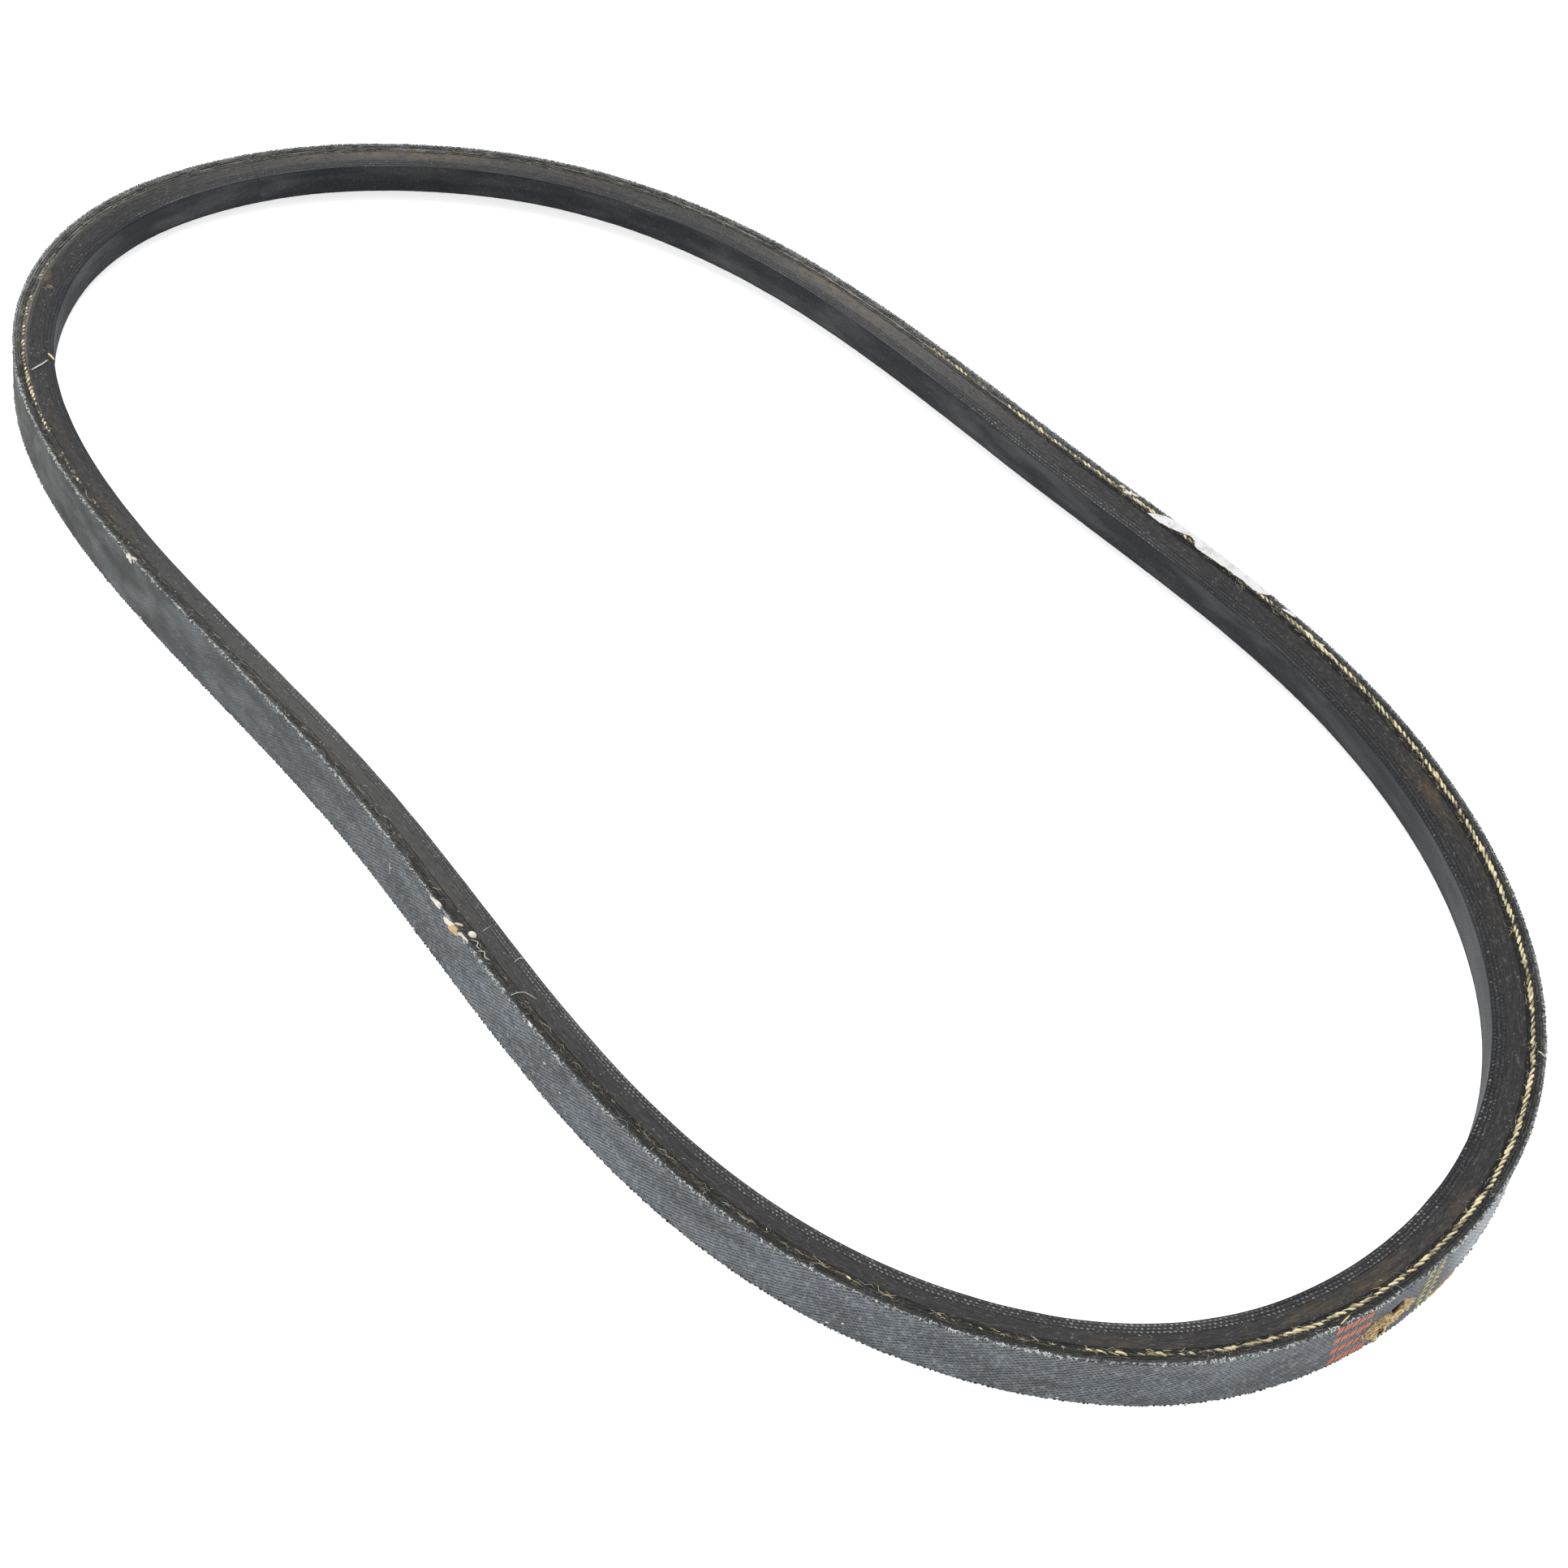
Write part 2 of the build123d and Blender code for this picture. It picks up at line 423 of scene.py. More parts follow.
def strip_uv(ring_count, run, strips):
    """Texture places for a band: the loop is cut into equal strips that are stacked in the texture.
    run is how far round the section each corner is, from 0 to 1."""
    per_strip = math.ceil(ring_count / strips)
    ring = np.arange(ring_count)
    strip = ring // per_strip
    start = (ring % per_strip) / per_strip
    end = start + 1 / per_strip
    margin = 0.04
    span = margin + np.asarray(run) * (1 - 2 * margin)
    low = (strip[:, None] + span[None, :-1]) / strips
    high = (strip[:, None] + span[None, 1:]) / strips
    left = np.broadcast_to(start[:, None], low.shape)
    right = np.broadcast_to(end[:, None], low.shape)
    corners = [(left, low), (right, low), (right, high), (left, high)]
    return np.stack([np.stack([u, v], axis=-1) for u, v in corners], axis=2).reshape(-1, 4, 2)


def cell_uv(count, along, around, turned=False):
    """Texture places for many small grids: each has its own square cell."""
    columns = math.ceil(math.sqrt(count))
    number = np.arange(count)
    corner = np.stack([number % columns, number // columns], axis=-1)[:, None, None, None, :]
    x, y = np.meshgrid(np.arange(along), np.arange(around), indexing="ij")
    steps = [(0, 0), (1, 0), (1, 1), (0, 1)]
    if turned:
        steps = [(0, 0), (0, 1), (1, 1), (1, 0)]
    local = np.stack([np.stack([(x + a) / along, (y + b) / around], axis=-1) for a, b in steps], axis=2)
    margin = 0.05
    return ((corner + margin + (1 - 2 * margin) * local[None]) / columns).reshape(-1, 4, 2)


def band_outline(outer, inner, flank_step, back_step, base_step):
    """The closed outline of a layer: up the outer face, in along the upper flank, down the inner face and
    out along the lower flank. Each point has its depth, height and which face it begins."""
    def walk(start, end, step):
        return np.linspace(start, end, max(1, int(round(abs(end - start) / step))), endpoint=False)

    up = walk(-half_width(outer), half_width(outer), back_step)
    inwards = walk(outer, inner, flank_step)
    down = walk(half_width(inner), -half_width(inner), base_step)
    outwards = walk(inner, outer, flank_step)
    depth = np.concatenate([0 * up + outer, inwards, 0 * down + inner, outwards])
    height = np.concatenate([up, half_width(inwards), down, -half_width(outwards)])
    face = np.repeat(["back", "top", "base", "under"], [len(up), len(inwards), len(down), len(outwards)])
    return depth, height, face


def face_normals(face):
    """The outward direction of each outline point as (depth, height)."""
    lean_in, lean_up = math.sin(FLANK_LEAN), math.cos(FLANK_LEAN)
    directions = {"back": (-1, 0), "base": (1, 0), "top": (lean_in, lean_up), "under": (lean_in, -lean_up)}
    return np.array([directions[f] for f in face], float)


def band(name, outer, inner, material, slot, relief, tint, pale, step=0.5, hidden=("back", "base"), strips=8,
         flank_step=0.22, back_step=UNDIVIDED, base_step=UNDIVIDED):
    """One layer of the belt as a closed ring. relief(s, depth, height, face) is how far each point stands
    out, in mm, and tint and pale of the same four are numbers for the material."""
    depth, height, face = band_outline(outer, inner, flank_step, back_step, base_step)
    s = round_loop(step)
    size = (len(s), len(depth))
    fields = [f(s, depth[None], height[None], face[None]) for f in (relief, tint, pale)]
    proud, tints, pales = (np.broadcast_to(field, size) for field in fields)
    normal = face_normals(face)
    vertices = place(s, depth + proud * normal[:, 0], height + proud * normal[:, 1])
    across = np.where((face == "top") | (face == "under"), depth, height)
    coords = np.stack(np.broadcast_arrays(s, across, depth), axis=-1)
    edge = np.hypot(np.diff(np.append(depth, depth[0])), np.diff(np.append(height, height[0])))
    edge = np.where(np.isin(face, hidden), edge * HIDDEN_SHARE, edge)
    run = np.concatenate([[0], np.cumsum(edge)]) / edge.sum()
    return new_piece(name, vertices, ring_faces(*size), material, strip_uv(len(s), run, strips),
                     coords, tints, pales)


def cord_tubes(name, tubes, tint, strips, turned_over=False):
    """Closed round tubes as one piece of cord. tubes is a list of (ring, side, xyz) in metres."""
    rings, sides = tubes[0].shape[:2]
    faces = ring_faces(rings, sides).reshape(-1, 4)
    uv = strip_uv(rings, np.linspace(0, 1, sides + 1), strips)
    if turned_over:
        faces, uv = faces[:, ::-1], uv[:, ::-1]
    numbers = range(len(tubes))
    return new_piece(name, np.stack(tubes), np.stack([faces + n * rings * sides for n in numbers]),
                     cord_material, np.stack([(uv + [0, n]) / [1, len(tubes)] for n in numbers]),
                     tint=np.stack(tint))


def threads(name, paths, radius, material, tint, sides=3):
    """Round threads. paths is (thread, point, xyz) in metres, radius in mm, and tint a number for each."""
    count, points = paths.shape[:2]
    tiny = 1e-12
    along = np.gradient(paths, axis=1)
    along /= np.linalg.norm(along, axis=2, keepdims=True) + tiny
    reference = np.where(np.abs(along[..., 2:]) > 0.8, np.array([1.0, 0, 0]), np.array([0, 0, 1.0]))
    first = np.cross(along, reference)
    first /= np.linalg.norm(first, axis=2, keepdims=True) + tiny
    second = np.cross(along, first)
    angle = round_angles(sides)[:, None]
    ring = first[:, :, None] * np.cos(angle) + second[:, :, None] * np.sin(angle)
    thickness = np.broadcast_to(np.asarray(radius, float), (count, points)) * MM
    vertices = paths[:, :, None] + ring * thickness[:, :, None, None]
    t, p, k = np.meshgrid(np.arange(count), np.arange(points - 1), np.arange(sides), indexing="ij")
    base = (t * points + p) * sides
    beside = (k + 1) % sides
    faces = np.stack([base + k, base + beside, base + sides + beside, base + sides + k], axis=-1)
    return new_piece(name, vertices, faces, material, cell_uv(count, points - 1, sides, turned=True),
                     tint=np.repeat(tint, points * sides))


def patches(name, surface, s, across, length, width, turn, rise, material, tint=None,
            grid=(4, 4), sunk=0.03, outline=(), flip=False, floor=None):
    """Many small raised patches on a surface. All the numbers may differ from patch to patch. outline has
    the strengths of the waves in a ragged outline, and floor is how proud the surface itself is."""
    count = len(s)
    x, y = np.meshgrid(np.linspace(-1, 1, grid[0]), np.linspace(-1, 1, grid[1]), indexing="ij")
    x, y = x[None], y[None]
    sizes = (length, width, turn, rise)
    length, width, turn, rise = (np.broadcast_to(v, count)[:, None, None] for v in sizes)
    a = x * np.sqrt(np.clip(1 - 0.5 * y ** 2, 0, 1)) * length / 2
    b = y * np.sqrt(np.clip(1 - 0.5 * x ** 2, 0, 1)) * width / 2
    angle = np.arctan2(y, x)
    wobble = 1 + sum(wave[:, None, None] * np.sin((k + 2) * angle + 7 * k) for k, wave in enumerate(outline))
    a, b = a * wobble, b * wobble
    place_s = s[:, None, None] + a * np.cos(turn) - b * np.sin(turn)
    place_across = across[:, None, None] + a * np.sin(turn) + b * np.cos(turn)
    proud = rise * np.sqrt(np.clip((1 - x ** 2) * (1 - y ** 2), 0, 1)) - sunk
    if floor is not None:
        proud = proud + floor(place_s, place_across)
    faces = grid_faces(count, *grid)
    if flip:
        faces = faces[..., [0, 3, 2, 1]]
    values = None if tint is None else np.repeat(np.broadcast_to(tint, count), grid[0] * grid[1])
    return new_piece(name, surface(place_s, place_across, proud), faces, material,
                     cell_uv(count, grid[0] - 1, grid[1] - 1, turned=flip), tint=values)


def threads_on(name, surface, s, across, random, lengths, heading, lifts, radii, material, shade,
               curl=0.4, points=5, base=0.03):
    """Loose threads that lie on a surface, lifted in their middle or at one end. lengths, lifts and radii are
    (lowest, highest) in mm, and heading and shade are (mean, spread)."""
    size = (len(s), 1)
    t = np.linspace(-0.5, 0.5, points)[None, :]
    length, heading = random.uniform(*lengths, size), random.normal(*heading, size)
    lift, radius = random.uniform(*lifts, size), random.uniform(*radii, size)
    way = heading + rng.normal(0, curl, size) * t * 2
    wiggle = rng.normal(0, 0.08, (len(s), points)) * length
    arched = np.where(rng.random(size) < 0.5, 1 - 4 * t ** 2, t + 0.5)
    run = s[:, None] + t * length * np.cos(way)
    side = across[:, None] + t * length * np.sin(way) + wiggle
    paths = surface(run, side, base + lift * arched)
    return threads(name, paths, radius * (1 - 0.5 * np.abs(2 * t) ** 3), material,
                   random.normal(*shade, len(s)))


def single_thread(name, surface, radius, material, stops):
    """One loose thread through stops of (share, across, proud)."""
    points = 24
    where = np.linspace(0, len(stops) - 1, points)
    values = [np.interp(where, np.arange(len(stops)), column) for column in zip(*stops)]
    values = [np.concatenate([v[:1], np.convolve(v, np.ones(3) / 3, "valid"), v[-1:]]) for v in values]
    s, across, proud = at_share(values[0])[None], values[1][None], values[2][None]
    thickness = radius * (1 - 0.6 * np.abs(np.linspace(-1, 1, points)) ** 4)[None]
    return threads(name, surface(s, across, proud), thickness, material, [0.6], sides=6)


# ---------- materials

def paint(red, green, blue):
    """A colour, 0 to 255 as it looks in the studio's light, in the linear numbers that a shader takes."""
    values = [c / 255 for c in (red, green, blue)]
    linear = [v / 12.92 if v <= 0.04045 else ((v + 0.055) / 1.055) ** 2.4 for v in values]
    return tuple(v / STUDIO_GAIN for v in linear) + (1.0,)


class Recipe:
    """A material being put together from nodes."""

    def __init__(self, name, roughness=0.7, specular=0.3):
        self.material = bpy.data.materials.new(name)
        self.material.use_nodes = True
        self.tree = self.material.node_tree
        self.surface = self.tree.nodes["Principled BSDF"]
        self.set("Roughness", roughness)
        self.set("Specular IOR Level", specular)

    def add(self, kind, sockets=(), **settings):
        node = self.tree.nodes.new(kind)
        for key, value in settings.items():
            setattr(node, key, value)
        for key, value in sockets:
            self.feed(node.inputs[key], value)
        return node

    def feed(self, socket, value):
        if isinstance(value, bpy.types.NodeSocket):
            self.tree.links.new(value, socket)
        else:
            socket.default_value = value

    def set(self, socket, value):
        self.feed(self.surface.inputs[socket], value)

    def math(self, operation, first, second=0.0):
        return self.add("ShaderNodeMath", [(0, first), (1, second)], operation=operation).outputs[0]

    def plus(self, first, second):
        return self.math("ADD", first, second)

    def times(self, first, second):
        return self.math("MULTIPLY", first, second)

    def value(self, label):
        return self.add("ShaderNodeAttribute", attribute_name=label).outputs["Fac"]

    def scaled(self, vector, scale):
        return self.add("ShaderNodeVectorMath", [(0, vector), (1, scale)], operation="MULTIPLY").outputs[0]

    def belt(self, scale=(1, 1, 1)):
        """The belt's own coordinates, in mm times scale: along, across and depth."""
        return self.scaled(self.add("ShaderNodeAttribute", attribute_name="belt").outputs["Vector"], scale)

    def noise(self, vector, detail=3.0, rough=0.55, warp=0.0):
        sockets = [("Vector", vector), ("Scale", 1.0), ("Detail", detail), ("Roughness", rough)]
        sockets.append(("Distortion", warp))
        return self.add("ShaderNodeTexNoise", sockets).outputs["Fac"]

    def belt_noise(self, scale, *settings):
        return self.noise(self.belt(scale), *settings)

    def space_noise(self, scale, *settings):
        """Noise in space, scale times as fine as 1 mm."""
        where = self.add("ShaderNodeTexCoord").outputs["Object"]
        return self.noise(self.scaled(where, (scale / MM,) * 3), *settings)

    def between(self, value, low, high, to_low=0.0, to_high=1.0):
        sockets = [(0, value), (1, low), (2, high), (3, to_low), (4, to_high)]
        return self.add("ShaderNodeMapRange", sockets, interpolation_type="SMOOTHSTEP").outputs[0]

    def mix(self, factor, first, second):
        node = self.add("ShaderNodeMix", data_type="RGBA", blend_type="MIX", clamp_factor=True)
        self.feed(node.inputs["Factor"], factor)
        self.feed(node.inputs[6], first)
        self.feed(node.inputs[7], second)
        return node.outputs[2]

    def coats(self, colour, *coats):
        """Coats laid over a colour: for each a field, the limits between which it shows, and its colour."""
        for field, limits, second in coats:
            colour = self.mix(self.between(field, *limits), colour, second)
        return colour

    def rubbed_or_highlit(self, colour, light, dark):
        """The colour where pale is above 0 (rubbed pale, or a painted highlight) or below 0 (dark)."""
        pale = self.value("pale")
        return self.mix(self.times(pale, -1.0), self.mix(pale, colour, light), dark)

    def bump(self, height, distance, under=None):
        """Bump of a height that runs from 0 to 1, distance mm deep."""
        sockets = [("Height", height), ("Distance", distance * MM), ("Strength", 1.0)]
        if under is not None:
            sockets.append(("Normal", under))
        return self.add("ShaderNodeBump", sockets).outputs[0]

    def finished(self, colour, normal, roughness=None):
        self.set("Base Color", colour)
        self.set("Normal", normal)
        if roughness is not None:
            self.set("Roughness", roughness)
        return self.material


def woven(recipe, pitch, first_slant, second_slant, second_share):
    """Height from 0 to 1 of a cloth cut on the bias: two sets of slanting yarns, one stronger than the other.
    Slants are in degrees."""
    shift = recipe.times(recipe.math("SUBTRACT", recipe.belt_noise((0.3, 0.3, 0)), 0.5), 9.0)
    split = recipe.add("ShaderNodeSeparateXYZ", [(0, recipe.belt())])
    waves = []
    for slant in (math.radians(first_slant), math.radians(second_slant)):
        along = recipe.times(split.outputs[0], -2 * math.pi * math.sin(slant) / pitch)
        across = recipe.times(split.outputs[1], 2 * math.pi * math.cos(slant) / pitch)
        waves.append(recipe.math("SINE", recipe.plus(recipe.plus(along, across), shift)))
    ribs = recipe.plus(waves[0], recipe.times(waves[1], second_share))
    return recipe.between(ribs, -1.0 - second_share, 1.0 + second_share)


def cover_fabric():
    """Grey-blue woven cover, faded in patches, darker where pale is below 0 and paler where it is above,
    which at the right end of the back is a painted highlight. tint above 0 is the torn hole, and above 1 the
    painted shade in its deep pits.
    """
    recipe = Recipe("cover_fabric", specular=0.2)
    weave = woven(recipe, 0.72, 24, -48, 0.55)
    grain = recipe.space_noise(1.0, 6.0, 0.8)
    blotches = recipe.belt_noise((0.05, 0.16, 0.1), 4.0, 0.62)
    cloth = recipe.coats(paint(90, 94, 97), (blotches, (0.3, 0.72), paint(126, 132, 137)))
    rubber = recipe.coats(paint(50, 50, 46), (blotches, (0.36, 0.64), paint(80, 84, 82)))
    # paint(222, 228, 236) where pale is above 0: pale wear on the cut faces, and a painted highlight on the
    # back at the right end of the loop
    cloth = recipe.rubbed_or_highlit(cloth, paint(222, 228, 236), rubber)
    open_cloth = recipe.between(recipe.value("pale"), -0.85, 0.0, 0.12, 1.0)
    # Painted shade in the gaps between the weave's ribs, pale lint on the grain's high points and dark pores
    # in its low ones
    rib_gap_shade_lint_pores = [
        (weave, (0.1, 0.75, 0.75, 0.0), paint(34, 36, 38)),
        (grain, (0.5, 0.66, 0.0, 0.6), paint(162, 170, 177)),
        (grain, (0.34, 0.47, 0.55, 0.0), paint(40, 42, 44)),
    ]
    for field, limits, shade in rib_gap_shade_lint_pores:
        cloth = recipe.mix(recipe.times(recipe.between(field, *limits), open_cloth), cloth, shade)
    grime = recipe.belt_noise((0.16, 0.3, 0.3), 5.0, 0.65)
    fibres = recipe.space_noise(2.4, 4.0, 0.7, 1.5)
    torn = recipe.value("tint")
    cotton = recipe.coats(
        paint(200, 152, 94),
        (fibres, (0.35, 0.6), paint(255, 224, 172)),
        # painted shade in the gash's deep pits, which the relief sinks only 0.6 mm
        (torn, (1.0, 1.5), paint(46, 32, 20)),
    )
    cloth = recipe.coats(
        cloth,
        (grime, (0.54, 0.7, 0.0, 0.6), paint(70, 66, 58)),
        (torn, (0.08, 0.4), cotton),
    )
    return recipe.finished(cloth, recipe.bump(weave, 0.07, recipe.bump(grain, 0.08)),
                           recipe.between(grain, 0.2, 0.8, 0.6, 0.85))


def cut_layer(name, dark, light, dust, streak=0.35, specular=0.12):
    """A layer's cut edge on the flank: dark, streaked along the belt, speckled with lint. tint is how much
    brown dust has settled, and dust is how much there is everywhere."""
    recipe = Recipe(name, specular=specular)
    streaks = recipe.belt_noise((0.2, 3.6, 0.5), 5.0, 0.7, 0.3)
    specks = recipe.belt_noise((0.5, 1.5, 1.5), 6.0, 0.8, 0.4)
    clouds = recipe.belt_noise((0.06, 0.22, 0.1), 5.0, 0.65)
    settled = recipe.plus(recipe.times(recipe.value("tint"), 0.4), recipe.times(clouds, dust))
    settled = recipe.plus(settled, recipe.times(specks, 0.4))
    colour = recipe.coats(
        dark,
        (streaks, (0.35, 0.7), light),
        (settled, (0.42, 0.88, 0.0, 0.9), paint(100, 84, 62)),
    )
    colour = recipe.coats(
        recipe.rubbed_or_highlit(colour, paint(150, 149, 144), paint(16, 16, 17)),
        (specks, (0.52, 0.68, 0.0, 0.7), paint(110, 109, 106)),
        (specks, (0.34, 0.48, 0.8, 0.0), paint(10, 10, 11)),
    )
    return recipe.finished(colour, recipe.bump(streaks, streak * 0.2, recipe.bump(specks, 0.16)),
                           recipe.between(specks, 0.25, 0.75, 0.5, 0.85))


def base_fabric():
    """The face that looks at the pulleys: rubberised weave, worn and dusty. tint is how faded it is."""
    recipe = Recipe("base_fabric", specular=0.1)
    weave = woven(recipe, 0.9, 40, -50, 0.8)
    grain = recipe.space_noise(1.7, 5.0, 0.75)
    wear = recipe.belt_noise((0.03, 0.14, 0.1), 5.0, 0.62)
    bright = recipe.plus(recipe.between(wear, 0.4, 0.68, 0.0, 0.35), recipe.value("tint"))
    dusty = recipe.plus(recipe.times(wear, 0.7), recipe.times(grain, 0.5))
    colour = recipe.mix(bright, paint(44, 46, 50), paint(112, 115, 116))
    colour = recipe.coats(
        recipe.rubbed_or_highlit(colour, paint(140, 142, 140), paint(14, 14, 16)),
        # painted shade in the gaps between the weave's yarns
        (weave, (0.0, 0.5, 0.14, 0.0), paint(34, 35, 37)),
        (grain, (0.54, 0.74, 0.0, 0.45), paint(118, 117, 112)),
        (dusty, (0.66, 0.86, 0.0, 0.5), paint(92, 84, 72)),
    )
    return recipe.finished(colour, recipe.bump(weave, 0.05, recipe.bump(grain, 0.08)),
                           recipe.between(grain, 0.2, 0.8, 0.5, 0.8))


def yarn(name, dark, light, roughness=0.8):
    """Bare yarn: fine fibres and light and dark stretches. tint shifts each thread's shade."""
    recipe = Recipe(name, roughness=roughness, specular=0.2)
    fibre = recipe.space_noise(5.0, 3.0, 0.7, 0.8)
    stretches = recipe.space_noise(0.35, 2.0)
    shade = recipe.plus(recipe.times(fibre, 0.6), recipe.times(stretches, 0.4))
    shade = recipe.plus(shade, recipe.math("SUBTRACT", recipe.value("tint"), 0.5))
    return recipe.finished(recipe.coats(dark, (shade, (0.3, 0.7), light)), recipe.bump(fibre, 0.05))


def torn_paper():
    """White label paper, soft and a little grubby along its torn edges. tint is 1 at the tear."""
    recipe = Recipe("torn_paper", roughness=0.85, specular=0.2)
    stain = recipe.space_noise(0.5, 3.0, 0.6)
    colour = recipe.coats(
        paint(226, 226, 228),
        (stain, (0.45, 0.75, 0.0, 0.7), paint(186, 185, 183)),
        (recipe.value("tint"), (0.55, 1.0, 0.0, 0.85), paint(150, 134, 96)),
    )
    return recipe.finished(colour, recipe.bump(recipe.space_noise(3.0, 4.0, 0.7), 0.05))


def faded_ink(name, strong, weak):
    """Printing ink that has worn off the high parts of the cloth."""
    recipe = Recipe(name, roughness=0.7, specular=0.2)
    worn = recipe.space_noise(2.2, 3.0, 0.7)
    return recipe.finished(recipe.coats(strong, (worn, (0.35, 0.62), weak)), recipe.bump(worn, 0.05))


def dried_glue():
    """Dried glue and bare cotton: tan at tint 0.5, cream at 1."""
    recipe = Recipe("dried_glue", roughness=0.7, specular=0.3)
    grain = recipe.space_noise(2.5, 4.0, 0.7)
    colour = recipe.coats(
        paint(206, 172, 122),
        (recipe.value("tint"), (0.55, 0.95), paint(236, 230, 216)),
        (grain, (0.45, 0.75, 0.0, 0.5), paint(160, 138, 104)),
    )
    return recipe.finished(colour, recipe.bump(grain, 0.08))


cover_material = cover_fabric()
cover_edge_material = cut_layer("cover_cut_edge", paint(26, 26, 27), paint(62, 62, 62), 0.25, 0.6)
gum_material = cut_layer("cut_gum", paint(22, 22, 23), paint(54, 53, 51), 0.3, 0.5)
core_material = cut_layer("core_rubber", paint(42, 42, 44), paint(67, 66, 67), 0.43, 0.25, 0.2)
ply_material = cut_layer("ply_cut_edge", paint(38, 39, 42), paint(64, 64, 66), 0.3, 0.3, 0.2)
base_material = base_fabric()
cord_material = yarn("cord_yarn", paint(96, 82, 56), paint(244, 230, 186))
fray_material = yarn("frayed_yarn", paint(70, 71, 70), paint(226, 228, 222))
yarn_end_material = yarn("yarn_ends", paint(62, 62, 64), paint(150, 150, 149), 0.6)
glue_material = dried_glue()
stub_material = cut_layer("nub_rubber", paint(30, 30, 32), paint(60, 60, 62), 0.0)
tan_material = yarn("torn_cotton", paint(194, 146, 88), paint(255, 232, 184))
paper_material = torn_paper()
red_ink = faded_ink("red_ink", paint(255, 132, 92), paint(214, 132, 106))
yellow_ink = faded_ink("yellow_ink", paint(255, 238, 140), paint(216, 204, 132))


# ---------- places on the belt

def away_from(share, s):
    """Distance along the loop from a share of it, below 0 before it."""
    return (s - at_share(share) + LENGTH / 2) % LENGTH - LENGTH / 2


def stretch(s, share, reach):
    """1 at a share of the loop, fading over reach mm to both sides."""
    return np.exp(-(away_from(share, s) / reach) ** 2)


def spot(s, across, share, centre, length, width):
    """A soft oval, 1 at its middle, at a share of the loop."""
    return stretch(s, share, length) * np.exp(-((across - centre) / width) ** 2)


def oval(s, height, shape):
    """0 in the middle of an oval, 1 on its outline."""
    share, middle, half_length, half_across, slant = shape
    away, up = away_from(share, s), height - middle
    along = away * math.cos(slant) + up * math.sin(slant)
    across = -away * math.sin(slant) + up * math.cos(slant)
    return np.hypot(along / half_length, across / half_across)


def gash_torn(s, height):
    """1 inside the gash, 0 outside, with a ragged edge."""
    ragged = 0.32 * smooth_noise(s, height, 1.3, 1.1, 41)
    reach = np.minimum(oval(s, height, GASH_BODY), oval(s, height, GASH_LOBE)) + ragged
    return np.clip((1.15 - reach) / 0.25, 0, 1)


def gash_pits(s, height):
    """1 in the places where the gash goes deep into the cover."""
    return np.clip(1.5 * np.max([np.exp(-oval(s, height, pit) ** 2) for pit in GASH_PITS], axis=0), 0, 1)


def corner_nibble(s, depth, height, amount):
    """How much the corner between the back and a flank is worn away, in mm."""
    corner = np.exp(-depth / 0.35) * np.exp(-(HALF_TOP - np.abs(height)) / 0.4)
    side_seed = np.where(height > 0, 0.0, 40.0)
    return -amount * corner * (0.5 + 0.5 * smooth_noise(s, side_seed, 1.3, 1.0, 5))


def cover_relief(s, depth, height, face):
    """Back cover: rubbed hollows, the gash, worn corners and a rough cut edge."""
    waves = 0.05 * smooth_noise(s, height, 9.0, 4.0, 1)
    grain = 0.035 * smooth_noise(s, height, 1.0, 1.0, 2)
    edge = np.clip((HALF_TOP - np.abs(height)) / 0.5, 0, 1)
    torn = gash_torn(s, height)
    ridge = 0.22 * torn * (0.6 + smooth_noise(s, height, 0.9, 0.9, 3))
    back = (waves + grain) * edge + ridge - 0.85 * gash_pits(s, height) * np.clip(torn * 2, 0, 1)
    cut = 0.09 * smooth_noise(s, depth + 9 * np.sign(height), 0.7, 0.3, 4)
    relief = np.where(face == "back", np.maximum(back, -0.6), cut + 0 * back)
    return np.where(face == "base", 0, relief + corner_nibble(s, depth, height, 0.22))


def squeezed_ridge(s, depth):
    """1 along the top of the rubber that is squeezed up beside the cord."""
    share, middle, length, width = RIDGE_PLACE
    return spot(s, depth, share, middle, length, width)


def cut_relief(seed, rough, cell_along, cell_across=0.35, base_rough=0.0, seam=0.0):
    """Relief of a layer whose cut edge shows on the flanks, and perhaps its base too. seam is how deep the
    line is where it meets the next layer."""
    def relief(s, depth, height, face):
        own_side = depth + np.where(face == "under", 30.0, 0.0)
        edge = rough * smooth_noise(s, own_side, cell_along, cell_across, seed)
        edge = edge + 0.04 * smooth_noise(s, depth, 14.0, 2.0, seed + 1)
        edge = edge + RIDGE_HEIGHT * squeezed_ridge(s, depth)
        nearest = np.min(np.abs(depth[..., None] - DEPTHS), axis=-1)
        uneven = 0.7 + 0.6 * smooth_noise(s, depth, 8.0, 1.0, seed + 3)
        edge = edge - seam * np.exp(-nearest / 0.12) * uneven
        base = base_rough * smooth_noise(s, height, 6.0, 3.0, seed + 2)
        flank = (face == "top") | (face == "under")
        return np.where(flank, edge, np.where(face == "base", base, 0.0) + 0 * edge)
    return relief


# tint: 1 inside the gash, plus up to 0.9 in its deep pits, which is painted shade
def cover_tear_and_pit_shade(s, depth, height, face):
    torn = gash_torn(s, height)
    return np.where(face == "back", torn + 0.9 * gash_pits(s, height) * torn, 0.0)


